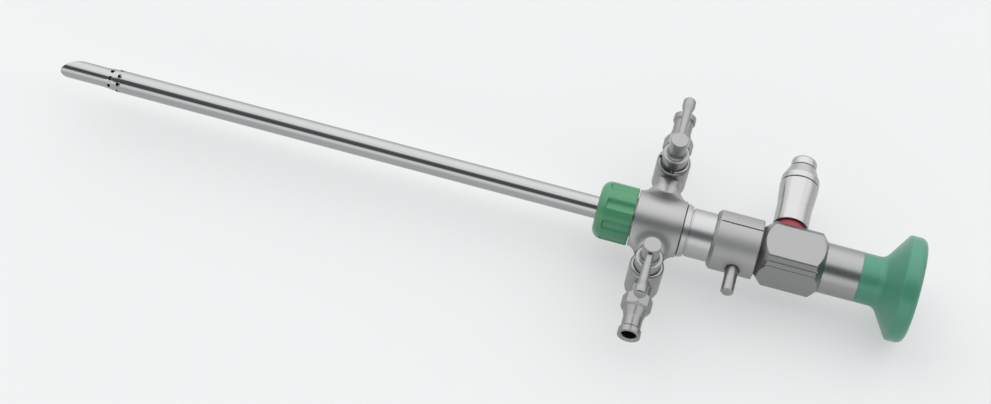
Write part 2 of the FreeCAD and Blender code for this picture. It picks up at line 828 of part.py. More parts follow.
def irrigation_hub():
    """the turning ring: two flared bosses, a flow chamber inside and a passage out to each stopcock"""
    body = new_body("irrigation_hub", HUB_CENTRE)
    half = "Sizes.hub_length / 2"
    revolve(body, [
        (f"-{half}", "0"),
        (half, "0"),
        (half, "Sizes.hub_radius"),
        (f"-{half}", "Sizes.hub_radius"),
    ])
    round_off(body, "Sizes.hub_edge", [(half, "Sizes.hub_radius"), (f"-{half}", "Sizes.hub_radius")])
    boss = revolve(body, [
        ("0", "0"),
        ("Sizes.boss_radius", "0"),
        ("Sizes.boss_radius", "Sizes.boss_top"),
        ("0", "Sizes.boss_top"),
    ], about="V_Axis")
    mirror(body, boss, "XZ_Plane")
    soften(body, crossing_edges(body.Tip.Shape), "Sizes.boss_flare")
    bore = "Sizes.seat_radius + Sizes.running_fit"
    cut_round(body, [
        (f"-{half} - Sizes.overrun", "0"),
        (f"{half} + Sizes.overrun", "0"),
        (f"{half} + Sizes.overrun", bore),
        ("Sizes.chamber_half_width", bore),
        ("Sizes.chamber_half_width", "Sizes.chamber_radius"),
        ("-Sizes.chamber_half_width", "Sizes.chamber_radius"),
        ("-Sizes.chamber_half_width", bore),
        (f"-{half} - Sizes.overrun", bore),
    ])
    joint_floor = less("Sizes.boss_top", "Sizes.joint_depth")
    passage = cut_round(body, [
        ("0", "Sizes.seat_radius"),
        ("Sizes.passage_radius", "Sizes.seat_radius"),
        ("Sizes.passage_radius", joint_floor),
        ("Sizes.joint_radius", joint_floor),
        ("Sizes.joint_radius", "Sizes.boss_top + Sizes.overrun"),
        ("0", "Sizes.boss_top + Sizes.overrun"),
    ], about="V_Axis")
    mirror(body, passage, "XZ_Plane")
    return body


RIM_FLOOR = "(Sizes.barrel_above - Sizes.rim_depth)"
SEAT_HEIGHT = total("Sizes.barrel_below", RIM_FLOOR)
STOP_PIN_HEIGHT = "(Sizes.barrel_above - Sizes.stop_recess_depth / 2 + Sizes.seam)"
NUT_TOP = "-(Sizes.barrel_below + Sizes.running_fit + Sizes.spring_rise + Sizes.spring_thickness)"


def stopcock_piece(label, side, along="0", up="0", turn=0.0):
    """a body in a stopcock's own frame: X runs out along the port, Z up the barrel and they cross at 0"""
    sign, outward = ("", 90.0) if side == "upper" else ("-", -90.0)
    across = f"{sign}(Sizes.stopcock_reach + {along})"
    return new_body(f"{side}_{label}", HUB_CENTRE, across, up, outward + turn)


def stopcock_body(side):
    """the barrel with its tapered bore, the neck to the hub and the stub that takes the hose connector"""
    body = stopcock_piece("stopcock_body", side)
    top = "Sizes.barrel_above"
    foot = "-Sizes.barrel_below"
    revolve(body, [
        ("0", foot),
        ("Sizes.barrel_outer_radius", foot),
        ("Sizes.barrel_outer_radius", top),
        ("0", top),
    ], "XZ_Plane", "V_Axis")
    round_off_upright(body, "Sizes.barrel_rounding", [(top, "Sizes.barrel_outer_radius")])
    round_off_upright(body, "Sizes.barrel_lower_edge", [(foot, "Sizes.barrel_outer_radius")])
    neck_foot = "(Sizes.boss_top - Sizes.stopcock_reach)"
    spigot_end = f"({neck_foot} - Sizes.joint_depth + Sizes.seam)"
    revolve(body, [
        (spigot_end, "0"),
        (spigot_end, "Sizes.joint_radius - Sizes.fixed_fit"),
        (neck_foot, "Sizes.joint_radius - Sizes.fixed_fit"),
        (neck_foot, "Sizes.port_neck_radius"),
        ("0", "Sizes.port_neck_radius"),
        ("0", "Sizes.stub_radius"),
        ("Sizes.stub_reach", "Sizes.stub_radius"),
        ("Sizes.stub_reach", "0"),
    ])
    below = f"({foot} - Sizes.overrun)"
    above = f"({top} + Sizes.overrun)"
    cut_round(body, [
        ("0", below),
        ("Sizes.plug_foot_radius + Sizes.plug_fit", below),
        ("Sizes.plug_foot_radius + Sizes.plug_fit", foot),
        ("Sizes.plug_top_radius + Sizes.plug_fit", RIM_FLOOR),
        ("Sizes.rim_bore_radius", RIM_FLOOR),
        ("Sizes.rim_bore_radius", above),
        ("0", above),
    ], "XZ_Plane", "V_Axis")
    joint_floor = less("Sizes.stub_reach", "Sizes.joint_depth")
    cut_round(body, [
        (f"{spigot_end} - Sizes.overrun", "0"),
        (f"{spigot_end} - Sizes.overrun", "Sizes.passage_radius"),
        (joint_floor, "Sizes.passage_radius"),
        (joint_floor, "Sizes.joint_radius - Sizes.seam"),
        ("Sizes.stub_reach + Sizes.overrun", "Sizes.joint_radius - Sizes.seam"),
        ("Sizes.stub_reach + Sizes.overrun", "0"),
    ])
    recess = new_sketch(body, "XZ_Plane", "180 - Sizes.lever_travel / 2", Vector(0, 1, 0))
    draw_outline(recess, [
        ("Sizes.plug_disc_radius", f"{top} - Sizes.stop_recess_depth"),
        ("Sizes.stop_recess_radius", f"{top} - Sizes.stop_recess_depth"),
        ("Sizes.stop_recess_radius", above),
        ("Sizes.plug_disc_radius", above),
    ])
    pin_angle = "asin((Sizes.stop_pin_radius + Sizes.end_gap) / Sizes.rim_bore_radius) / (1 deg)"
    turn_part_way(body, recess, f"Sizes.lever_travel + 2 * {pin_angle}", "V_Axis")
    return body


def plug(side):
    """the tapered plug: a cross hole in the seat, a disc in the rim and a tall head for the lever"""
    body = stopcock_piece("plug", side)
    foot = "(Sizes.plug_recess - Sizes.barrel_below)"
    slope = f"(Sizes.plug_top_radius - Sizes.plug_foot_radius) / {SEAT_HEIGHT}"
    foot_radius = f"Sizes.plug_foot_radius + Sizes.plug_recess * {slope}"
    stem_end = f"{NUT_TOP} - Sizes.nut_thickness - Sizes.end_gap"
    revolve(body, [
        ("0", stem_end),
        ("Sizes.plug_stem_radius", stem_end),
        ("Sizes.plug_stem_radius", foot),
        (foot_radius, foot),
        ("Sizes.plug_top_radius", RIM_FLOOR),
        ("Sizes.plug_top_radius", f"{RIM_FLOOR} + Sizes.seam"),
        ("Sizes.plug_disc_radius", f"{RIM_FLOOR} + Sizes.seam"),
        ("Sizes.plug_disc_radius", "Sizes.plug_disc_top"),
        ("Sizes.plug_head_radius", "Sizes.plug_disc_top"),
        ("Sizes.plug_head_radius", "Sizes.plug_head_top"),
        ("0", "Sizes.plug_head_top"),
    ], "XZ_Plane", "V_Axis")
    round_off_upright(body, "Sizes.plug_flare", [("Sizes.plug_disc_top", "Sizes.plug_head_radius")])
    round_off_upright(body, "Sizes.plug_disc_edge", [("Sizes.plug_disc_top", "Sizes.plug_disc_radius")])
    round_off_upright(body, "Sizes.plug_head_edge", [("Sizes.plug_head_top", "Sizes.plug_head_radius")])
    cross_hole = new_sketch(body, "YZ_Plane")
    draw_circle(cross_hole, "0", "0", "Sizes.passage_radius")
    pocket(body, cross_hole, both_ways=True)
    lever_hole = new_sketch(body, "YZ_Plane")
    draw_circle(lever_hole, "0", "Sizes.lever_height", "Sizes.lever_root_radius + Sizes.fixed_fit")
    lift(lever_hole, "Sizes.lever_start")
    pocket(body, lever_hole, "Sizes.plug_head_radius + Sizes.overrun", reverse=True)
    pin_hole = new_sketch(body, "YZ_Plane")
    draw_circle(pin_hole, "0", STOP_PIN_HEIGHT, "Sizes.stop_pin_radius + Sizes.fixed_fit")
    lift(pin_hole, "-Sizes.stop_pin_root")
    pocket(body, pin_hole, "Sizes.plug_disc_radius")
    return body


def lever(side):
    """the tapered rod pressed into the plug's head, swelling to a rounded tip"""
    body = stopcock_piece("lever", side, "Sizes.lever_start", "Sizes.lever_height")
    swell_end = total("Sizes.lever_neck", "Sizes.lever_swell")
    inside = total("Sizes.plug_head_radius", "-Sizes.lever_start")
    revolve(body, [
        ("0", "0"),
        ("0", "Sizes.lever_root_radius"),
        (inside, "Sizes.lever_root_radius"),
        ("Sizes.lever_neck", "Sizes.lever_neck_radius"),
        (swell_end, "Sizes.lever_tip_radius"),
        ("Sizes.lever_length", "Sizes.lever_tip_radius"),
        ("Sizes.lever_length", "0"),
    ])
    round_off(body, "Sizes.lever_rounding", [("Sizes.lever_length", "Sizes.lever_tip_radius")])
    return body


def stop_pin(side):
    """the small pin in the plug's disc that meets the ends of the quarter recess"""
    body = stopcock_piece("stop_pin", side, up=STOP_PIN_HEIGHT, turn=180.0)
    revolve(body, [
        ("Sizes.stop_pin_root", "0"),
        ("Sizes.stop_pin_tip", "0"),
        ("Sizes.stop_pin_tip", "Sizes.stop_pin_radius"),
        ("Sizes.stop_pin_root", "Sizes.stop_pin_radius"),
    ])
    return body


def plug_spring(side):
    """the dished spring washer that draws the plug down into its seat"""
    body = stopcock_piece("plug_spring", side)
    hole = "Sizes.plug_stem_radius + Sizes.running_fit"
    rim = "(-Sizes.barrel_below - Sizes.running_fit)"
    hub = f"({rim} - Sizes.spring_rise)"
    revolve(body, [
        (hole, f"{hub} - Sizes.spring_thickness"),
        ("Sizes.spring_radius", f"{rim} - Sizes.spring_thickness"),
        ("Sizes.spring_radius", rim),
        (hole, hub),
    ], "XZ_Plane", "V_Axis")
    return body


def plug_nut(side):
    """the six-sided nut on the plug's stem"""
    body = stopcock_piece("plug_nut", side, up=f"{NUT_TOP} - Sizes.nut_thickness")
    sketch = new_sketch(body, "XY_Plane")
    out = "Sizes.nut_width / 2 / cos(180 / Sizes.nut_sides)"
    corners = []
    for number in range(int(value("Sizes.nut_sides"))):
        turn = f"{number} * {FULL_TURN} / Sizes.nut_sides"
        corners.append((f"{out} * cos({turn})", f"{out} * sin({turn})"))
    draw_outline(sketch, corners)
    pad(body, sketch, "Sizes.nut_thickness")
    hole = new_sketch(body, "XY_Plane")
    draw_circle(hole, "0", "0", "Sizes.plug_stem_radius + Sizes.fixed_fit")
    pocket(body, hole, both_ways=True)
    return body


def hose_connector(side):
    """the turned connector: eight spanner flats, a tapered waist and a lipped socket for the hose"""
    spigot = less("Sizes.joint_depth", "Sizes.seam")
    body = stopcock_piece("hose_connector", side, less("Sizes.stub_reach", spigot))
    flats_start = total(spigot, "Sizes.connector_step", "Sizes.connector_chamfer")
    flats_end = total(flats_start, "Sizes.connector_flats_length")
    waist_start = total(flats_end, "Sizes.connector_chamfer", "Sizes.connector_taper")
    waist_end = total(waist_start, "Sizes.connector_waist_length")
    lip_start = total(waist_end, "Sizes.connector_lip_edge")
    end = total(lip_start, "Sizes.connector_lip_length")
    outer_spigot = "Sizes.joint_radius - Sizes.seam - Sizes.fixed_fit"
    floor = less(end, "Sizes.socket_length")
    mouth = f"{end} - (Sizes.mouth_radius - Sizes.socket_radius)"
    revolve(body, [
        ("0", "Sizes.passage_radius"),
        (floor, "Sizes.passage_radius"),
        (floor, "Sizes.socket_radius"),
        (mouth, "Sizes.socket_radius"),
        (end, "Sizes.mouth_radius"),
        (end, "Sizes.connector_lip_radius"),
        (lip_start, "Sizes.connector_lip_radius"),
        (waist_end, "Sizes.connector_waist_radius"),
        (waist_start, "Sizes.connector_waist_radius"),
        (f"{flats_end} + Sizes.connector_chamfer", "Sizes.connector_face_radius"),
        (flats_end, "Sizes.connector_corner_radius"),
        (flats_start, "Sizes.connector_corner_radius"),
        (f"{spigot} + Sizes.connector_step", "Sizes.connector_face_radius"),
        (spigot, "Sizes.connector_face_radius"),
        (spigot, outer_spigot),
        ("0", outer_spigot),
    ])
    flat = new_sketch(body, "XZ_Plane", "180 / Sizes.connector_flat_count")
    beyond = "Sizes.connector_corner_radius + Sizes.overrun"
    draw_outline(flat, [
        (spigot, "Sizes.connector_flat_radius"),
        (waist_start, "Sizes.connector_flat_radius"),
        (waist_start, beyond),
        (spigot, beyond),
    ])
    cut = pocket(body, flat, both_ways=True)
    repeat_round(body, cut, "Sizes.connector_flat_count")
    return body


# Telescope


NOSE_SETBACK = "Sizes.bevel_length * (1 - Sizes.scope_radius / Sizes.nose_tube_radius) / 2"
SCOPE_TIP = total(TIP, NOSE_SETBACK, "Sizes.scope_recess")
SPIGOT_LENGTH = "(Sizes.seam + Sizes.flange_length + Sizes.socket_depth)"
SPIGOT_FRONT = less(BLOCK_FRONT, SPIGOT_LENGTH)


def bevelled_tube(label, length, radius, bore, setback="0"):
    """a tube of the telescope's shaft with the same oblique end as the sheath's nose"""
    body = new_body(label, total(SCOPE_TIP, setback))
    if bore == "0":
        revolve(body, [("0", "0"), (length, "0"), (length, radius), ("0", radius)])
    else:
        revolve(body, [("0", bore), (length, bore), (length, radius), ("0", radius)])
    cut_bevel(body, radius)
    return body


def inner_setback(radius):
    """how much further back a thinner tube starts so that its oblique end stays in the same plane"""
    return f"Sizes.bevel_length * (Sizes.scope_radius - {radius}) / Sizes.nose_tube_radius / 2"


def scope_tube():
    """the telescope's outer tube, from the tip into the coupling spigot"""
    bore = "(Sizes.scope_radius - Sizes.scope_wall)"
    return bevelled_tube("scope_tube", less(BLOCK_FRONT, SCOPE_TIP), "Sizes.scope_radius", bore)


def light_fibres():
    """the ring of light fibres between the telescope's two tubes"""
    radius = "(Sizes.scope_radius - Sizes.scope_wall - Sizes.fixed_fit)"
    setback = inner_setback(radius)
    length = less(BLOCK_FRONT, SCOPE_TIP, f"({setback})")
    bore = "(Sizes.lens_tube_radius + Sizes.fixed_fit)"
    return bevelled_tube("light_fibres", length, radius, bore, setback)


def lens_tube():
    """the inner tube that holds the rod lenses"""
    setback = inner_setback("Sizes.lens_tube_radius")
    length = less(OCULAR_FRONT, SCOPE_TIP, f"({setback})")
    bore = "(Sizes.lens_tube_radius - Sizes.lens_tube_wall)"
    return bevelled_tube("lens_tube", length, "Sizes.lens_tube_radius", bore, setback)


ROD_RADIUS = "(Sizes.lens_tube_radius - Sizes.lens_tube_wall - Sizes.fixed_fit)"
ROD_ROW = less(OCULAR_FRONT, SCOPE_TIP, "Sizes.rod_start", "Sizes.rod_end")
ROD_PITCH = f"(({ROD_ROW} + Sizes.rod_gap) / Sizes.rod_count)"


def tip_window():
    """the oblique window at the telescope's tip"""
    setback = inner_setback(ROD_RADIUS)
    length = f"(Sizes.bevel_length * {ROD_RADIUS} / Sizes.nose_tube_radius + Sizes.tip_lens_length)"
    return bevelled_tube("tip_window", length, ROD_RADIUS, "0", setback)


def rod_lenses():
    """the row of long rod lenses"""
    rods = []
    for number in range(int(value("Sizes.rod_count"))):
        rod = doc.addObject("Part::Cylinder", f"rod_lens_{number + 1}")
        rod.setExpression("Radius", ROD_RADIUS)
        rod.setExpression("Height", f"{ROD_PITCH} - Sizes.rod_gap")
        rod.Placement = Placement(Vector(), LYING_ALONG_X)
        front = total(SCOPE_TIP, "Sizes.rod_start", f"{number} * {ROD_PITCH}")
        rod.setExpression("Placement.Base.x", front)
        rods.append(rod)
    return group("rod_lenses", rods)


def lens_spacers():
    """the thin tubes that keep the rod lenses apart"""
    spacers = []
    for number in range(int(value("Sizes.rod_count")) - 1):
        spacer = doc.addObject("Part::Cylinder", f"spacer_solid_{number + 1}")
        spacer.setExpression("Radius", ROD_RADIUS)
        bore = doc.addObject("Part::Cylinder", f"spacer_bore_{number + 1}")
        bore.setExpression("Radius", f"{ROD_RADIUS} - Sizes.lens_tube_wall")
        back = less(f"{number + 1} * {ROD_PITCH}", "Sizes.rod_gap")
        for cylinder in (spacer, bore):
            cylinder.setExpression("Height", "Sizes.rod_gap")
            cylinder.Placement = Placement(Vector(), LYING_ALONG_X)
            cylinder.setExpression("Placement.Base.x", total(SCOPE_TIP, "Sizes.rod_start", back))
        cut = doc.addObject("Part::Cut", f"spacer_{number + 1}")
        cut.Base = spacer
        cut.Tool = bore
        spacers.append(cut)
    return group("lens_spacers", spacers)


def coupling_spigot():
    """the telescope's spigot: a cone, a seal groove and a hole for the bayonet pin"""
    body = new_body("coupling_spigot", SPIGOT_FRONT)
    bore = "Sizes.scope_radius + Sizes.fixed_fit"
    groove = total("Sizes.spigot_cone", "Sizes.spigot_seal_setback")
    half = "Sizes.seal_groove_width / 2"
    floor = "Sizes.spigot_radius - Sizes.seal_groove"
    revolve(body, [
        ("0", bore),
        (SPIGOT_LENGTH, bore),
        (SPIGOT_LENGTH, "Sizes.spigot_radius"),
        (f"{groove} + {half}", "Sizes.spigot_radius"),
        (f"{groove} + {half}", floor),
        (f"{groove} - {half}", floor),
        (f"{groove} - {half}", "Sizes.spigot_radius"),
        ("Sizes.spigot_cone", "Sizes.spigot_radius"),
        ("0", "Sizes.spigot_nose_radius"),
    ])
    hole = new_sketch(body, "XY_Plane")
    pin = less(SPIGOT_LENGTH, "Sizes.seam", "Sizes.flange_length", "Sizes.end_gap", "Sizes.key_depth / 2")
    draw_circle(hole, pin, "0", "Sizes.bayonet_radius + Sizes.fixed_fit")
    pocket(body, hole, "Sizes.spigot_radius + Sizes.overrun", reverse=True)
    return body


def bayonet_pin():
    """the pin on the telescope's spigot that the lock ring's flange holds"""
    back = total("Sizes.seam", "Sizes.flange_length", "Sizes.end_gap", "Sizes.key_depth / 2")
    body = new_body("bayonet_pin", less(BLOCK_FRONT, back))
    foot = "Sizes.scope_radius + Sizes.fixed_fit + Sizes.seam"
    revolve(body, [
        ("0", foot),
        ("Sizes.bayonet_radius", foot),
        ("Sizes.bayonet_radius", "Sizes.bayonet_reach"),
        ("0", "Sizes.bayonet_reach"),
    ], "XZ_Plane", "V_Axis")
    return body


def spigot_seal():
    """the seal ring on the telescope's spigot"""
    along = total(SPIGOT_FRONT, "Sizes.spigot_cone", "Sizes.spigot_seal_setback")
    return o_ring("spigot_seal", along, "Sizes.spigot_radius - Sizes.seal_groove")


def scope_block():
    """the square body: grooved corner faces, coned ends, and bores for the lens tube and the post"""
    body = new_body("scope_block", BLOCK_FRONT)
    section = new_sketch(body, "YZ_Plane")
    half = "Sizes.block_half"
    inner = "(Sizes.block_half - Sizes.corner_cut)"
    draw_outline(section, [
        (inner, half),
        (f"-{inner}", half),
        (f"-{half}", inner),
        (f"-{half}", f"-{inner}"),
        (f"-{inner}", f"-{half}"),
        (inner, f"-{half}"),
        (half, f"-{inner}"),
        (half, inner),
    ])
    pad(body, section, "Sizes.block_length")
    beyond = "(Sizes.turned_reach + Sizes.overrun)"
    cut_round(body, [
        ("-Sizes.overrun", beyond),
        ("-Sizes.overrun", "Sizes.front_cone_radius"),
        ("0", "Sizes.front_cone_radius"),
        ("Sizes.front_cone_length", "Sizes.turned_reach"),
        ("Sizes.front_cone_length", beyond),
    ])
    behind = "(Sizes.block_length + Sizes.overrun)"
    cut_round(body, [
        (behind, "Sizes.rear_cone_radius"),
        (behind, beyond),
        ("Sizes.block_length - Sizes.rear_cone_length", beyond),
        ("Sizes.block_length - Sizes.rear_cone_length", "Sizes.turned_reach"),
        ("Sizes.block_length", "Sizes.rear_cone_radius"),
    ])
    face = "(Sizes.block_half - Sizes.corner_cut / 2) * sqrt(2)"
    for offset, width, depth in (
        ("0", "Sizes.groove_width", "Sizes.groove_depth"),
        ("Sizes.edge_groove_offset", "Sizes.edge_groove_width", "Sizes.edge_groove_depth"),
        ("-Sizes.edge_groove_offset", "Sizes.edge_groove_width", "Sizes.edge_groove_depth"),
    ):
        groove = new_sketch(body, "YZ_Plane", "180 / Sizes.block_sides", UPRIGHT)
        draw_outline(groove, [
            (f"{face} - {depth}", f"{offset} - {width} / 2"),
            (f"{face} + Sizes.overrun", f"{offset} - {width} / 2"),
            (f"{face} + Sizes.overrun", f"{offset} + {width} / 2"),
            (f"{face} - {depth}", f"{offset} + {width} / 2"),
        ])
        cut = pocket(body, groove, reverse=True)
        repeat_round(body, cut, "Sizes.block_sides")
    bore = new_sketch(body, "YZ_Plane")
    draw_circle(bore, "0", "0", "Sizes.lens_tube_radius + Sizes.fixed_fit")
    pocket(body, bore, reverse=True)
    ocular_seat = new_sketch(body, "YZ_Plane")
    draw_circle(ocular_seat, "0", "0", "Sizes.ocular_spigot_radius - Sizes.ocular_wall + Sizes.fixed_fit")
    lift(ocular_seat, "Sizes.block_length")
    pocket(body, ocular_seat, "Sizes.ocular_spigot_length / 2 + Sizes.seam")
    post_bore = new_sketch(body, "XZ_Plane")
    draw_circle(post_bore, "Sizes.post_station", "0", "Sizes.fibre_radius + Sizes.fixed_fit")
    pocket(body, post_bore, "Sizes.block_half + Sizes.overrun")
    post_seat = new_sketch(body, "XZ_Plane")
    draw_circle(post_seat, "Sizes.post_station", "0", "Sizes.stem_spigot_radius + Sizes.fixed_fit")
    lift(post_seat, "-(Sizes.block_half - Sizes.stem_spigot_length - Sizes.seam)")
    pocket(body, post_seat, "Sizes.block_half")
    return body


def post_piece(label, out="0"):
    """a body whose X axis runs out along the light post from the main axis"""
    return new_body(label, POST_AXIS, out, turn=90.0)


def light_stem():
    """the stem screwed into the block: the groove for the red ring and a shank for the adapters"""
    body = post_piece("light_stem", "Sizes.block_half")
    bore = "Sizes.fibre_radius + Sizes.fixed_fit"
    ring_end = total("Sizes.stem_length", "Sizes.ring_groove_length")
    end = total(ring_end, "Sizes.stem_shank_length")
    revolve(body, [
        ("-Sizes.stem_spigot_length", bore),
        (end, bore),
        (end, "Sizes.stem_shank_radius"),
        (ring_end, "Sizes.stem_shank_radius"),
        (ring_end, "Sizes.ring_groove_radius"),
        ("Sizes.stem_length", "Sizes.ring_groove_radius"),
        ("Sizes.stem_length", "Sizes.stem_radius"),
        ("0", "Sizes.stem_radius"),
        ("0", "Sizes.stem_spigot_radius"),
        ("-Sizes.stem_spigot_length", "Sizes.stem_spigot_radius"),
    ])
    return body


def colour_ring():
    """the red marking ring at the post's base"""
    return tube(
        "colour_ring", POST_AXIS, "Sizes.ring_groove_length", "Sizes.stem_radius",
        "Sizes.ring_groove_radius + Sizes.fixed_fit", "Sizes.block_half + Sizes.stem_length", turn=90.0,
    )


ADAPTER_BASE = "(Sizes.block_half + Sizes.stem_length + Sizes.ring_groove_length + Sizes.seam / 2)"


def wide_adapter():
    """the inner of the two cable adapters, swelling towards its rim"""
    body = post_piece("wide_adapter", ADAPTER_BASE)
    bore = "Sizes.stem_shank_radius + Sizes.fixed_fit"
    revolve(body, [
        ("0", bore),
        ("Sizes.adapter_length", bore),
        ("Sizes.adapter_length", "Sizes.adapter_swell_radius"),
        ("Sizes.adapter_swell", "Sizes.adapter_swell_radius"),
        ("Sizes.adapter_straight", "Sizes.adapter_root_radius"),
        ("0", "Sizes.adapter_root_radius"),
    ])
    round_off(body, "Sizes.adapter_edge", [
        ("0", "Sizes.adapter_root_radius"),
        ("Sizes.adapter_length", "Sizes.adapter_swell_radius"),
    ])
    return body


TIP_ADAPTER_BASE = total(ADAPTER_BASE, "Sizes.adapter_length", "Sizes.adapter_gap")


def tip_adapter():
    """the outer adapter: a straight band, a cone, a snap groove and a rounded lip round the fibre face"""
    body = post_piece("tip_adapter", TIP_ADAPTER_BASE)
    cone_end = total("Sizes.tip_band_length", "Sizes.tip_cone_length")
    groove_end = total(cone_end, "Sizes.tip_groove_length")
    end = total(groove_end, "Sizes.tip_lip_length")
    bore = "Sizes.fibre_radius + Sizes.fixed_fit"
    revolve(body, [
        ("-Sizes.tip_shank_length", bore),
        (end, bore),
        (end, "Sizes.tip_lip_radius"),
        (groove_end, "Sizes.tip_lip_radius"),
        (groove_end, "Sizes.tip_groove_radius"),
        (cone_end, "Sizes.tip_groove_radius"),
        (cone_end, "Sizes.tip_cone_radius"),
        ("Sizes.tip_band_length", "Sizes.tip_base_radius"),
        ("0", "Sizes.tip_base_radius"),
        ("0", "Sizes.tip_shank_radius"),
        ("-Sizes.tip_shank_length", "Sizes.tip_shank_radius"),
    ])
    round_off(body, "Sizes.tip_rounding", [(end, "Sizes.tip_lip_radius")])
    round_off(body, "Sizes.adapter_edge", [("0", "Sizes.tip_base_radius")])
    return body


def post_fibres():
    """the bundle of light fibres in the post, polished flush at the adapter's end"""
    body = post_piece("post_fibres", "Sizes.lens_tube_radius + Sizes.end_gap")
    cone_end = total("Sizes.tip_band_length", "Sizes.tip_cone_length")
    stack = total(cone_end, "Sizes.tip_groove_length", "Sizes.tip_lip_length")
    end = total(TIP_ADAPTER_BASE, stack, "-Sizes.lens_tube_radius", "-Sizes.end_gap")
    revolve(body, [("0", "0"), (end, "0"), (end, "Sizes.fibre_radius"), ("0", "Sizes.fibre_radius")])
    return body


def ocular_barrel():
    """the steel barrel between the block and the eyepiece, with a spigot into each"""
    body = new_body("ocular_barrel", OCULAR_FRONT)
    bore = "Sizes.ocular_spigot_radius - Sizes.ocular_wall"
    front_bore = "Sizes.lens_tube_radius + Sizes.fixed_fit"
    rear = total("Sizes.ocular_length", "Sizes.ocular_spigot_length")
    front = "-Sizes.ocular_spigot_length / 2"
    revolve(body, [
        (front, front_bore),
        ("Sizes.ocular_wall", front_bore),
        ("Sizes.ocular_wall", bore),
        (rear, bore),
        (rear, "Sizes.ocular_spigot_radius"),
        ("Sizes.ocular_length", "Sizes.ocular_spigot_radius"),
        ("Sizes.ocular_length", "Sizes.ocular_radius"),
        ("0", "Sizes.ocular_radius"),
        ("0", bore),
        (front, bore),
    ])
    return body


OCULAR_BORE = "(Sizes.ocular_spigot_radius - Sizes.ocular_wall)"


def ocular_lenses():
    """the two crowned lenses of the eyepiece"""
    lenses = []
    for number in range(int(value("Sizes.ocular_lens_count"))):
        along = total(OCULAR_FRONT, "Sizes.ocular_lens_start", f"{number} * Sizes.ocular_lens_spacing")
        lens = new_body(f"ocular_lens_{number + 1}", along)
        radius = f"({OCULAR_BORE} - Sizes.fixed_fit)"
        bulge = "Sizes.ocular_lens_bulge"
        crown = total("Sizes.ocular_lens_edge", bulge)
        sphere = f"(({radius} ^ 2 + {bulge} ^ 2) / (2 * {bulge}))"
        revolve(lens, [
            ("0", "0"),
            ("0", radius),
            ("Sizes.ocular_lens_edge", radius),
            (crown, "0", f"{crown} - {sphere}"),
        ])
        lenses.append(lens)
    return group("ocular_lenses", lenses)


def field_stop():
    """the ring that frames the picture, between the two lenses"""
    second_lens = total(OCULAR_FRONT, "Sizes.ocular_lens_start", "Sizes.ocular_lens_spacing")
    along = less(second_lens, "Sizes.stop_thickness")
    radius = f"{OCULAR_BORE} - Sizes.fixed_fit"
    return tube("field_stop", along, "Sizes.stop_thickness", radius, "Sizes.stop_bore")


def eyepiece_cup():
    """the flared eyepiece: a flank, the round rim that a camera clamps on and a dish round the window"""
    body = new_body("eyepiece_cup", CUP_FRONT)
    bore = "Sizes.ocular_spigot_radius + Sizes.fixed_fit"
    spigot = total("Sizes.ocular_spigot_length", "Sizes.seam")
    floor = less("Sizes.cup_length", "Sizes.dish_depth")
    window = "Sizes.window_radius + Sizes.fixed_fit"
    window_floor = less(floor, "Sizes.window_thickness", "Sizes.window_ring_height")
    revolve(body, [
        ("0", bore),
        (spigot, bore),
        (spigot, "Sizes.window_opening"),
        (window_floor, "Sizes.window_opening"),
        (window_floor, window),
        (floor, window),
        (floor, "Sizes.dish_floor_radius"),
        ("Sizes.cup_length", "Sizes.dish_radius"),
        ("Sizes.cup_length", "Sizes.rim_radius"),
        ("Sizes.cup_flank_end", "Sizes.rim_radius"),
        ("Sizes.cup_flank_start", "Sizes.cup_radius"),
        ("0", "Sizes.cup_radius"),
    ])
    round_off(body, "Sizes.cup_flank_rounding", [("Sizes.cup_flank_start", "Sizes.cup_radius")])
    round_off(body, "Sizes.cup_shoulder_rounding", [("Sizes.cup_flank_end", "Sizes.rim_radius")])
    round_off(body, "Sizes.cup_rear_rounding", [("Sizes.cup_length", "Sizes.rim_radius")])
    return body


DISH_FLOOR = total(CUP_FRONT, "Sizes.cup_length", "-Sizes.dish_depth")


def eyepiece_window():
    """the flat cover glass at the bottom of the dish"""
    along = less(DISH_FLOOR, "Sizes.window_ring_height", "Sizes.window_thickness")
    body = new_body("eyepiece_window", along)
    end = "Sizes.window_thickness"
    revolve(body, [("0", "0"), (end, "0"), (end, "Sizes.window_radius"), ("0", "Sizes.window_radius")])
    return body


def window_ring():
    """the screwed ring that holds the cover glass"""
    height = "Sizes.window_ring_height"
    along = less(DISH_FLOOR, height)
    return tube("window_ring", along, height, "Sizes.window_radius", "Sizes.window_opening")


PIECES = [
    sheath_tube, clamp_collar, sleeve, hub_seals, thrust_ring, lock_clip, lock_ring, lock_pin,
    irrigation_hub, scope_tube, light_fibres, lens_tube, tip_window, rod_lenses, lens_spacers,
    coupling_spigot, bayonet_pin, spigot_seal, scope_block, light_stem, colour_ring, wide_adapter,
    tip_adapter, post_fibres, ocular_barrel, ocular_lenses, field_stop, eyepiece_cup, eyepiece_window,
    window_ring,
]
STOPCOCK_PIECES = [stopcock_body, plug, lever, stop_pin, plug_spring, plug_nut, hose_connector]

for piece in PIECES:
    piece()
for stopcock_side in ("upper", "lower"):
    for piece in STOPCOCK_PIECES:
        piece(stopcock_side)
doc.recompute()

# Every object is sound, and every piece is a valid shape, before a file is written
compounds = [thing for thing in doc.Objects if thing.TypeId == "Part::Compound"]
inner_members = {member.Name for compound in compounds for member in compound.Links}
node_kinds = ("PartDesign::Body", "Part::Torus", "Part::Compound")
nodes = []
for thing in doc.Objects:
    if "Invalid" in thing.State or "Error" in thing.State:
        raise RuntimeError(f"{thing.Label} failed: {thing.State}")
    if thing.TypeId in node_kinds and thing.Name not in inner_members:
        if thing.Shape.isNull() or not thing.Shape.isValid():
            raise RuntimeError(f"{thing.Label} has no valid shape")
        nodes.append(thing)

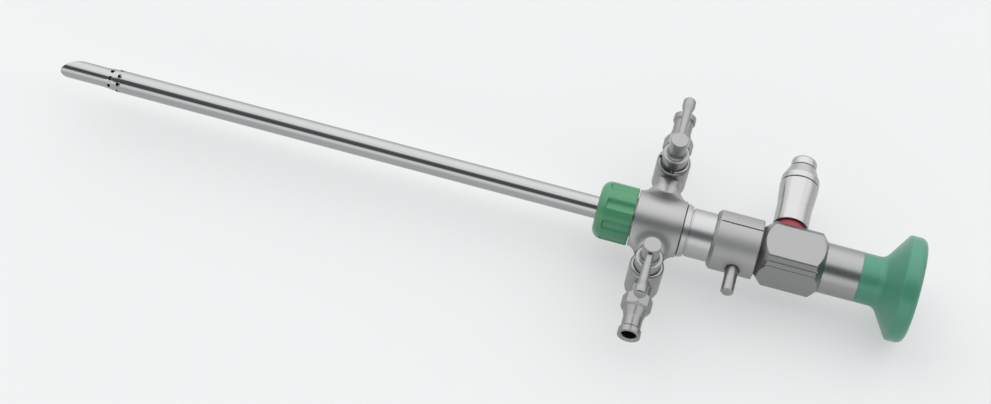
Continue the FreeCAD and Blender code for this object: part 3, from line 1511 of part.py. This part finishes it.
os.makedirs("parts", exist_ok=True)
for node in nodes:
    node.Shape.exportStep(f"parts/{node.Label}.step")
    print(f"{node.Label}: {len(node.Shape.Solids)} solids, {node.Shape.Volume:.2f} mm3")
print(f"{len(nodes)} nodes written")
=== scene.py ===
# %% [markdown]
# # A surgical viewing sheath with its telescope
#
# The pieces arrive finished in shape from the fixed frame, so this script gives them their surfaces: blasted and
# polished stainless steel, green and red anodised aluminium, glass, fibre and rubber. It also adds the wide flares of
# the hub's two bosses. Everything is in metres, in the frame's own axes: X runs along the tube towards the eyepiece,
# Y towards the light post, Z up.

# %% Load the frame
import math

import bmesh
import bpy
from mathutils import Matrix, Vector


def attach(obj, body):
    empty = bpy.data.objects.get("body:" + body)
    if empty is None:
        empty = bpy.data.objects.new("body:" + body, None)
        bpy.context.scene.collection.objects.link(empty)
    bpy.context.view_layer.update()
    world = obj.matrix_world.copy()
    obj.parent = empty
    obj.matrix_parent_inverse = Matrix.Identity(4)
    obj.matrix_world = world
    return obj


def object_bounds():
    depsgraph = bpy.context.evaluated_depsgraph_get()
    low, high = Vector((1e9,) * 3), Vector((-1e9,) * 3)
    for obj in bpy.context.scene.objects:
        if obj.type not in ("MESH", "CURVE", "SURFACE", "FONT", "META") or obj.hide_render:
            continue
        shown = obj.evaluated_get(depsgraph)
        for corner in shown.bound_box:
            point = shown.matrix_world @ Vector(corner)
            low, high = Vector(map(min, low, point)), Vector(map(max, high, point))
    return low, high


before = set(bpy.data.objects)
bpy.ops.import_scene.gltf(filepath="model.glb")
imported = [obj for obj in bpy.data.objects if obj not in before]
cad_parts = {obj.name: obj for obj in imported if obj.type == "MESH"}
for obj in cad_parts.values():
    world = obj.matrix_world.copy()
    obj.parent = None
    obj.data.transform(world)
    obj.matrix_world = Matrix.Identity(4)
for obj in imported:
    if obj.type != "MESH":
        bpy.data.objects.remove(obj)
cad_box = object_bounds()
MM = 0.001

# %% [markdown]
# ## The camera
#
# The instrument lies flat and is seen from high up in front, with a short telephoto lens from about seventy
# centimetres. The camera stands opposite the hub, so the ports point straight up and down in the picture, while the
# light post and the eyepiece's rim lean a little. It looks at the middle of the instrument. The long axis slopes
# down to the right in the picture: instead of turning the instrument, which has to stay where the frame puts it, the
# camera is rolled about its own line of sight.

# %% Place the camera
PICTURE_WIDTH_PX = 991
FOCAL_PX = 2386
SENSOR_MM = 36.0
DISTANCE = 0.694
ELEVATION = math.radians(57.2)
AXIS_SLOPE = math.radians(14.88)
STAND_ALONG = -76.8 * MM
AIM_ALONG = -120.32 * MM
AIM_BELOW = 6.03 * MM
NEAREST = 0.01
FARTHEST = 50

level_up = Vector((0, math.sin(ELEVATION), math.cos(ELEVATION)))
below = -AIM_BELOW * level_up
stand = Vector((STAND_ALONG, -DISTANCE * math.cos(ELEVATION), DISTANCE * math.sin(ELEVATION))) + below
forward = (Vector((AIM_ALONG, 0, 0)) + below - stand).normalized()
long_axis = Vector((1, 0, 0))
level = (long_axis - long_axis.dot(forward) * forward).normalized()
right = math.cos(AXIS_SLOPE) * level + math.sin(AXIS_SLOPE) * level.cross(forward)
up = right.cross(forward)

camera_data = bpy.data.cameras.new("camera")
camera_data.sensor_width = SENSOR_MM
camera_data.lens = FOCAL_PX / PICTURE_WIDTH_PX * SENSOR_MM
camera_data.clip_start = NEAREST
camera_data.clip_end = FARTHEST
camera = bpy.data.objects.new("camera", camera_data)
turned = Matrix((right, up, -forward)).transposed().to_4x4()
camera.matrix_world = Matrix.Translation(stand) @ turned
bpy.context.collection.objects.link(camera)
bpy.context.scene.camera = camera
bpy.context.scene.view_settings.view_transform = "Standard"
print("lens", round(camera_data.lens, 1), "mm at", [round(c, 3) for c in camera.location])

# %% [markdown]
# ## Writing shaders as sums
#
# A finish is mostly arithmetic: a grain times a strength, a mask taken from one. The class below wraps a socket, so
# that Python's own operators add the Math nodes, and one method adds any other node. The finishes then read like
# formulas.

# %% A socket that can be calculated with


class Signal:
    """a socket of a node tree that can be used in sums"""

    def __init__(self, tree, socket=None):
        self.tree = tree
        self.socket = socket

    def node(self, kind, inputs=None, output=0, **settings):
        """adds a node: its settings first, then the values or links of its sockets"""
        made = self.tree.nodes.new(kind)
        for name, setting in settings.items():
            setattr(made, name, setting)
        for name, given in (inputs or {}).items():
            if isinstance(given, Signal):
                self.tree.links.new(given.socket, made.inputs[name])
            else:
                made.inputs[name].default_value = given
        return Signal(self.tree, made.outputs[output] if made.outputs else None)

    def maths(self, operation, *terms):
        """adds a Math node"""
        return self.node("ShaderNodeMath", dict(enumerate(terms)), operation=operation)

    def __add__(self, other):
        return self.maths("ADD", self, other)

    def __sub__(self, other):
        return self.maths("SUBTRACT", self, other)

    def __rsub__(self, other):
        return self.maths("SUBTRACT", other, self)

    def __mul__(self, other):
        return self.maths("MULTIPLY", self, other)

    def between(self, low, high):
        """0 below low, 1 above high and a smooth step from one to the other"""
        return self.node(
            "ShaderNodeMapRange", {"Value": self, "From Min": low, "From Max": high}, interpolation_type="SMOOTHSTEP"
        )

    def blend(self, first, second):
        """the first colour where this is 0 and the second where it is 1"""
        return self.node("ShaderNodeMix", {0: self, 6: first, 7: second}, output=2, data_type="RGBA")


def grey(level):
    """an opaque grey"""
    return (level, level, level, 1.0)


print("shader class ready")

# %% [markdown]
# ## The studio
#
# Polished steel has almost no colour of its own: it shows the room. A soft studio is bright overhead, greyer near
# the horizon and at the right-hand end, and dark where the camera stands. That dark strip is what draws the thin
# black line along the tube. The room could be built of cards and lamps; it is written here as a sky whose brightness
# depends on the direction alone, which is smooth, cheap and the same from every view.

# %% Light the room with a sky
STRIP_HEIGHT = math.radians(54.5)
STRIP_HALF_WIDTH = math.radians(22.0)
STRIP_SOFTNESS = math.radians(9.0)
STRIP_LEVEL = 0.16
SKY_LOW = 1.25
SKY_HIGH = 1.60
SKY_RISE = 0.60
RIGHT_SHADE = 0.38
RIGHT_START = 0.15
RIGHT_END = 0.90
LOW_END = 0.60
STRIP_TINT = (0.84, 0.95, 1.0, 1.0)
SKY_TINT = (0.995, 1.0, 1.0, 1.0)

world = bpy.data.worlds.new("studio")
world.use_nodes = True
world.node_tree.nodes.clear()
ink = Signal(world.node_tree)
direction = ink.node("ShaderNodeTexCoord", output="Generated")
parts = [ink.node("ShaderNodeSeparateXYZ", {"Vector": direction}, output=axis) for axis in "XYZ"]
height = ink.maths("ARCTAN2", parts[2], 0 - parts[1])
from_strip = ink.maths("ABSOLUTE", height - STRIP_HEIGHT)
open_sky = from_strip.between(STRIP_HALF_WIDTH - STRIP_SOFTNESS, STRIP_HALF_WIDTH + STRIP_SOFTNESS)
rising = parts[2].between(0.0, SKY_RISE) * (SKY_HIGH - SKY_LOW) + SKY_LOW
at_right = parts[0].between(RIGHT_START, RIGHT_END) * (1 - parts[2].between(0.0, LOW_END))
sky = rising * (1 - at_right * RIGHT_SHADE)
strength = open_sky * (sky - STRIP_LEVEL) + STRIP_LEVEL
tint = open_sky.blend(STRIP_TINT, SKY_TINT)
backdrop = ink.node("ShaderNodeBackground", {"Color": tint, "Strength": strength})
ink.node("ShaderNodeOutputWorld", {"Surface": backdrop})
bpy.context.scene.world = world
print("sky from", SKY_LOW, "to", SKY_HIGH)

# %% [markdown]
# ## The floor and the lamp
#
# The floor is a plain pale sheet just under the lowest point of the eyepiece's rim. Part of its brightness is a glow
# that only the camera and clear reflections see, so the sheet looks nearly white and still keeps a shadow. One large
# soft lamp from behind and above gives the shadow a direction without a hard edge.

# %% Lay the floor and hang the lamp
FLOOR_SIZE = 6.0
FLOOR_GAP = 0.05 * MM
PAPER_LEVEL = 0.76
PAPER_GLOW = 0.45
GLOW_COLOUR = (0.922, 0.934, 0.944, 1.0)

floor_height = cad_box[0].z - FLOOR_GAP
bpy.ops.mesh.primitive_plane_add(size=FLOOR_SIZE, location=(0, 0, floor_height))
floor = bpy.context.object
floor.name = "floor"
paper = bpy.data.materials.new("white_paper")
paper.use_nodes = True
paper.node_tree.nodes.clear()
ink = Signal(paper.node_tree)
sheet = ink.node("ShaderNodeBsdfDiffuse", {"Color": grey(PAPER_LEVEL)})
glow = ink.node("ShaderNodeEmission", {"Color": GLOW_COLOUR, "Strength": 1.0})
rays = ("Is Camera Ray", "Is Glossy Ray", "Is Transmission Ray")
seen = [ink.node("ShaderNodeLightPath", output=ray) for ray in rays]
share = ink.maths("MINIMUM", seen[0] + seen[1] + seen[2], 1.0) * PAPER_GLOW
ink.node("ShaderNodeOutputMaterial", {"Surface": ink.node("ShaderNodeMixShader", {0: share, 1: sheet, 2: glow})})
floor.data.materials.append(paper)

LAMP_POWER = 1.0
LAMP_WIDTH = 1.6
LAMP_DEPTH = 1.1
LAMP_PLACE = Vector((-0.35, 0.75, 0.95))
LAMP_AIM = Vector((-0.1, 0, 0))

lamp_data = bpy.data.lights.new("softbox", "AREA")
lamp_data.shape = "RECTANGLE"
lamp_data.size = LAMP_WIDTH
lamp_data.size_y = LAMP_DEPTH
lamp_data.energy = LAMP_POWER
lamp = bpy.data.objects.new("softbox", lamp_data)
lamp.location = LAMP_PLACE
lamp.rotation_euler = (LAMP_AIM - LAMP_PLACE).to_track_quat("-Z", "Y").to_euler()
bpy.context.collection.objects.link(lamp)
print("floor at", round(floor_height / MM, 2), "mm")

# %% [markdown]
# ## Steel finishes
#
# The instrument shows three steel finishes. The long tube is drawn and polished. The hub, the lock ring and the
# square body are blasted with fine glass beads, which leaves a dense matt grain. The light post is turned and then
# polished, so rings as fine as hair run round it. Each finish is one Principled shader with a grain in its bump and
# a slow unevenness in its roughness, both from noise in the piece's own coordinates.

# %% Helpers for metal
EDGE_RADIUS = 0.12 * MM
EDGE_SAMPLES = 6


def new_finish(name):
    """an empty material and the start of its formulas"""
    material = bpy.data.materials.new(name)
    material.use_nodes = True
    material.node_tree.nodes.clear()
    return material, Signal(material.node_tree)


def place_of(ink):
    """the place on the piece, in metres"""
    return ink.node("ShaderNodeTexCoord", output="Object")


def noise(ink, place, size, detail, stretch=(1, 1, 1)):
    """a noise whose grains are about the given size, squeezed or stretched along the axes"""
    scaled = ink.node("ShaderNodeVectorMath", {0: place, 1: stretch}, operation="MULTIPLY")
    return ink.node("ShaderNodeTexNoise", {"Vector": scaled, "Scale": 1 / size, "Detail": detail})


def close_finish(ink, surface):
    """ends a material"""
    ink.node("ShaderNodeOutputMaterial", {"Surface": surface})


def soft_edges(ink, grain, depth, strength, radius=EDGE_RADIUS):
    """a bump from a grain, on normals that are rounded a little at the edges"""
    rounded = ink.node("ShaderNodeBevel", {"Radius": radius}, samples=EDGE_SAMPLES)
    return ink.node(
        "ShaderNodeBump", {"Height": grain, "Distance": depth, "Strength": strength, "Normal": rounded}
    )


print("helpers ready")

# %% [markdown]
# Blasted steel scatters light widely. Its grain is finer than a pixel at the picture's distance and only shows close
# up, while slow patches in its roughness break the flat look from afar. The hub and the lock ring are blasted with
# coarser beads than the square body, so their dark strip is wider and paler.

# %% Blasted steel
BEAD_MARK = 0.09 * MM
BEAD_DEPTH = 0.012 * MM
BLAST_PATCH = 6 * MM


def blasted_steel(name, level, roughness):
    """matt glass-blasted stainless steel"""
    material, ink = new_finish(name)
    place = place_of(ink)
    grain = noise(ink, place, BEAD_MARK, 3.0)
    patches = noise(ink, place, BLAST_PATCH, 2.0)
    tone = patches.blend(grey(level * 0.95), (level * 1.03, level * 1.03, level * 1.01, 1.0))
    surface = ink.node("ShaderNodeBsdfPrincipled", {
        "Base Color": tone,
        "Metallic": 1.0,
        "Roughness": (grain - 0.5) * 0.06 + (patches - 0.5) * 0.08 + roughness,
        "Normal": soft_edges(ink, grain, BEAD_DEPTH, 0.35),
    })
    close_finish(ink, surface)
    return material


blasted = blasted_steel("blasted_steel", 0.29, 0.33)
coarse = blasted_steel("coarse_blasted_steel", 0.37, 0.41)
dull = blasted_steel("dull_blasted_steel", 0.37, 0.52)
print("made", blasted.name, coarse.name, dull.name)

# %% [markdown]
# The tube is drawn through a die and then polished along its length, so its faint lines run along X. Stretching the
# noise along X by a factor of a few hundred turns its grains into such lines.

# %% Drawn and polished tube
DIE_LINE = 0.12 * MM
DIE_DEPTH = 0.004 * MM
ALONG_TUBE = (0.004, 1, 1)
HAZE_PATCH = 9 * MM


def drawn_steel(name, level, roughness):
    """polished steel with faint lines along the tube"""
    material, ink = new_finish(name)
    place = place_of(ink)
    lines = noise(ink, place, DIE_LINE, 2.0, stretch=ALONG_TUBE)
    haze = noise(ink, place, HAZE_PATCH, 3.0)
    tone = haze.blend(grey(level * 0.96), grey(level * 1.03))
    surface = ink.node("ShaderNodeBsdfPrincipled", {
        "Base Color": tone,
        "Metallic": 1.0,
        "Roughness": (lines - 0.5) * 0.05 + (haze - 0.5) * 0.06 + roughness,
        "Normal": soft_edges(ink, lines, DIE_DEPTH, 0.25),
    })
    close_finish(ink, surface)
    return material


drawn = drawn_steel("drawn_steel", 0.385, 0.12)
print("made", drawn.name)

# %% [markdown]
# Turned pieces carry the tool's rings. The rings depend on the place along the piece's own axis only, so the noise
# is squeezed along that axis and stretched across it.

# %% Turned steel
TOOL_RING = 0.05 * MM
RING_DEPTH = 0.006 * MM
TURNED_PATCH = 5 * MM
ACROSS = 0.02


def turned_steel(name, along, level, roughness):
    """steel turned on a lathe, with rings round one axis"""
    material, ink = new_finish(name)
    place = place_of(ink)
    stretch = [1.0 if axis == along else ACROSS for axis in "XYZ"]
    rings = noise(ink, place, TOOL_RING, 2.0, stretch=stretch)
    patches = noise(ink, place, TURNED_PATCH, 2.0)
    tone = patches.blend(grey(level * 0.96), grey(level * 1.03))
    surface = ink.node("ShaderNodeBsdfPrincipled", {
        "Base Color": tone,
        "Metallic": 1.0,
        "Roughness": (rings - 0.5) * 0.08 + (patches - 0.5) * 0.05 + roughness,
        "Normal": soft_edges(ink, rings, RING_DEPTH, 0.10),
    })
    close_finish(ink, surface)
    return material


post_steel = turned_steel("post_steel", "Y", 0.43, 0.17)
barrel_steel = turned_steel("barrel_steel", "X", 0.31, 0.29)
neck_steel = turned_steel("neck_steel", "X", 0.43, 0.30)
plug_steel = turned_steel("plug_steel", "Z", 0.30, 0.30)
print("made", post_steel.name, barrel_steel.name, neck_steel.name, plug_steel.name)

# %% [markdown]
# ## Coloured aluminium
#
# The green and red pieces are anodised: a dye sits in a hard clear oxide on the metal. The colour is therefore partly
# metallic, and a thin coat over it gives paler highlights than a plain coloured metal would show. The collar's flutes
# are handled the most, so their edges look rounder than the others.

# %% Anodised aluminium
OXIDE_INDEX = 1.50
OXIDE_GRAIN = 0.10 * MM
OXIDE_DEPTH = 0.010 * MM
DYE_PATCH = 4 * MM
METAL_SHARE = 0.30
WORN_EDGE = 0.45 * MM


def anodised(name, colour, deep, roughness=0.45, edge=EDGE_RADIUS):
    """dyed oxide on blasted aluminium"""
    material, ink = new_finish(name)
    place = place_of(ink)
    grain = noise(ink, place, OXIDE_GRAIN, 3.0)
    patches = noise(ink, place, DYE_PATCH, 3.0)
    tone = patches.blend((*deep, 1.0), (*colour, 1.0))
    surface = ink.node("ShaderNodeBsdfPrincipled", {
        "Base Color": tone,
        "Metallic": METAL_SHARE,
        "Roughness": (grain - 0.5) * 0.08 + roughness,
        "Coat Weight": 0.55,
        "Specular IOR Level": 0.2,
        "Coat Roughness": 0.26,
        "Coat IOR": OXIDE_INDEX,
        "Normal": soft_edges(ink, grain, OXIDE_DEPTH, 0.30, edge),
    })
    close_finish(ink, surface)
    return material


green = anodised("green_anodised", (0.068, 0.262, 0.132), (0.060, 0.236, 0.118), edge=WORN_EDGE)
teal = anodised("teal_anodised", (0.068, 0.265, 0.172), (0.060, 0.238, 0.155))
red = anodised("red_anodised", (0.36, 0.035, 0.060), (0.24, 0.020, 0.035), roughness=0.42)
print("made", green.name, teal.name, red.name)

# %% [markdown]
# ## Glass, fibre, rubber and black metal
#
# The lenses sit in black tubes, so glass here is mostly its own reflection over darkness. The light fibres end in a
# ground face made of thousands of hair-thin rods, each a little brighter or darker than the next: a cell pattern.

# %% The other finishes
GLASS_INDEX = 1.52
FIBRE_WIDTH = 0.07 * MM
BLACK_GRAIN = 0.12 * MM


def optical_glass():
    """clear coated glass"""
    material, ink = new_finish("optical_glass")
    surface = ink.node("ShaderNodeBsdfPrincipled", {
        "Base Color": (0.93, 0.97, 1.0, 1.0),
        "Roughness": 0.02,
        "IOR": GLASS_INDEX,
        "Transmission Weight": 1.0,
        "Coat Weight": 0.3,
        "Coat Roughness": 0.02,
    })
    close_finish(ink, surface)
    return material


def fibre_face():
    """the ground ends of a bundle of light fibres"""
    material, ink = new_finish("fibre_face")
    cells = ink.node(
        "ShaderNodeTexVoronoi", {"Vector": place_of(ink), "Scale": 1 / FIBRE_WIDTH, "Randomness": 0.6}
    )
    tone = cells.between(0.1, 0.55).blend((0.74, 0.71, 0.60, 1.0), (0.30, 0.28, 0.22, 1.0))
    surface = ink.node("ShaderNodeBsdfPrincipled", {
        "Base Color": tone,
        "Roughness": cells.between(0.1, 0.6) * 0.3 + 0.12,
        "Coat Weight": 0.6,
        "Coat Roughness": 0.08,
    })
    close_finish(ink, surface)
    return material


def plain_black(name, level, roughness, metal=0.0):
    """a dark inner surface with a fine grain"""
    material, ink = new_finish(name)
    grain = noise(ink, place_of(ink), BLACK_GRAIN, 2.0)
    surface = ink.node("ShaderNodeBsdfPrincipled", {
        "Base Color": grain.blend(grey(level * 0.8), grey(level * 1.2)),
        "Metallic": metal,
        "Roughness": (grain - 0.5) * 0.1 + roughness,
    })
    close_finish(ink, surface)
    return material


glass = optical_glass()
fibre = fibre_face()
black_metal = plain_black("black_metal", 0.02, 0.45, 0.4)
rubber = plain_black("seal_rubber", 0.03, 0.55)
print("made", glass.name, fibre.name, black_metal.name, rubber.name)

# %% [markdown]
# ## Dressing the pieces
#
# Each piece of the frame takes one finish. What isn't named here by itself is blasted steel.

# %% Assign the finishes
FINISHES = {
    drawn: ["sheath_tube", "scope_tube"],
    coarse: ["irrigation_hub"],
    dull: ["lock_ring"],
    green: ["clamp_collar"],
    teal: ["eyepiece_cup"],
    red: ["colour_ring"],
    post_steel: ["light_stem", "wide_adapter", "tip_adapter"],
    barrel_steel: ["ocular_barrel", "coupling_spigot", "lock_clip"],
    neck_steel: ["sleeve", "thrust_ring"],
    plug_steel: ["lock_pin", "bayonet_pin"],
    glass: ["tip_window", "rod_lenses", "ocular_lenses", "eyepiece_window"],
    fibre: ["light_fibres", "post_fibres"],
    black_metal: ["lens_tube", "lens_spacers", "field_stop", "window_ring"],
    rubber: ["hub_seals", "spigot_seal"],
}
for side in ("upper", "lower"):
    FINISHES[plug_steel] += [f"{side}_{piece}" for piece in ("plug", "lever", "stop_pin", "plug_spring")]
finish_of = {node: material for material, names in FINISHES.items() for node in names}
for node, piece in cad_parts.items():
    for place in piece.material_slots:
        place.material = finish_of.get(node, blasted)
print("dressed", len(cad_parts), "nodes")

# %% [markdown]
# ## The flares of the hub's bosses
#
# Each boss grows out of the hub in one wide, soft flare, as it comes from the mould in which such hubs are cast. A
# ball that rolls round the boss and touches both it and the hub all the time leaves exactly that shape behind. So a
# flat grid is bent round the boss: its length goes round, and its width follows the arc between the two places that
# the ball touches. The ends of the hub and the joint of the stopcock trim it, and it then gets a wall inwards, into
# the hub's metal. The lower flare is the same one, turned by half a turn about the tube.

# %% Bend a grid into a flare
HUB_MIDDLE = -73.11 * MM
HUB_RADIUS = 8.35 * MM
HUB_TRIM = 6.95 * MM
BOSS_RADIUS = 3.8 * MM
BOSS_TOP = 11.65 * MM
BALL = 6.0 * MM
FLARE_WALL = 0.8 * MM
ROUND_STEPS = 120
ARC_STEPS = 18
SAME_PLACE = 0.001 * MM
SHARP_ANGLE = math.radians(40)


def ball_mark(turn, share):
    """the place between the boss (share 0) and the hub (share 1) that the ball touches at this turn"""
    reach = BOSS_RADIUS + BALL
    lift = HUB_RADIUS + BALL
    aside = Vector((math.cos(turn), 0, math.sin(turn)))
    centre = reach * aside
    centre.y = math.sqrt(lift**2 - centre.z**2)
    to_hub = -Vector((0, centre.y, centre.z)).normalized()
    return centre + BALL * (-aside).slerp(to_hub, share)


def trim(mesh, corner, outwards):
    """cuts off what lies beyond a plane"""
    everything = mesh.verts[:] + mesh.edges[:] + mesh.faces[:]
    bmesh.ops.bisect_plane(mesh, geom=everything, plane_co=corner, plane_no=outwards, clear_outer=True)


def finish_piece(mesh, name, finish, body):
    """turns a bmesh into a piece that rides on a body"""
    data = bpy.data.meshes.new(name)
    mesh.to_mesh(data)
    mesh.free()
    data.shade_smooth()
    data.set_sharp_from_angle(angle=SHARP_ANGLE)
    data.materials.append(finish)
    piece = bpy.data.objects.new(name, data)
    bpy.context.collection.objects.link(piece)
    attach(piece, body)
    print("made", name, "with", len(data.polygons), "faces")


def boss_flare(side, turned_by):
    """the flare of one boss, turned about the tube"""
    mesh = bmesh.new()
    bmesh.ops.create_grid(mesh, x_segments=ROUND_STEPS, y_segments=ARC_STEPS, size=0.5)
    for corner in mesh.verts:
        corner.co = ball_mark((corner.co.x + 0.5) * math.tau, corner.co.y + 0.5)
    bmesh.ops.remove_doubles(mesh, verts=mesh.verts, dist=SAME_PLACE)
    trim(mesh, (HUB_TRIM, 0, 0), (1, 0, 0))
    trim(mesh, (-HUB_TRIM, 0, 0), (-1, 0, 0))
    trim(mesh, (0, BOSS_TOP, 0), (0, 1, 0))
    bmesh.ops.recalc_face_normals(mesh, faces=mesh.faces)
    if sum(face.normal.y for face in mesh.faces) < 0:
        bmesh.ops.reverse_faces(mesh, faces=mesh.faces)
    bmesh.ops.solidify(mesh, geom=mesh.faces[:], thickness=FLARE_WALL)
    bmesh.ops.rotate(mesh, verts=mesh.verts, matrix=Matrix.Rotation(turned_by, 3, "X"))
    bmesh.ops.translate(mesh, verts=mesh.verts, vec=(HUB_MIDDLE, 0, 0))
    finish_piece(mesh, f"{side}_boss_flare", coarse, "hub")


boss_flare("upper", 0)
boss_flare("lower", math.pi)
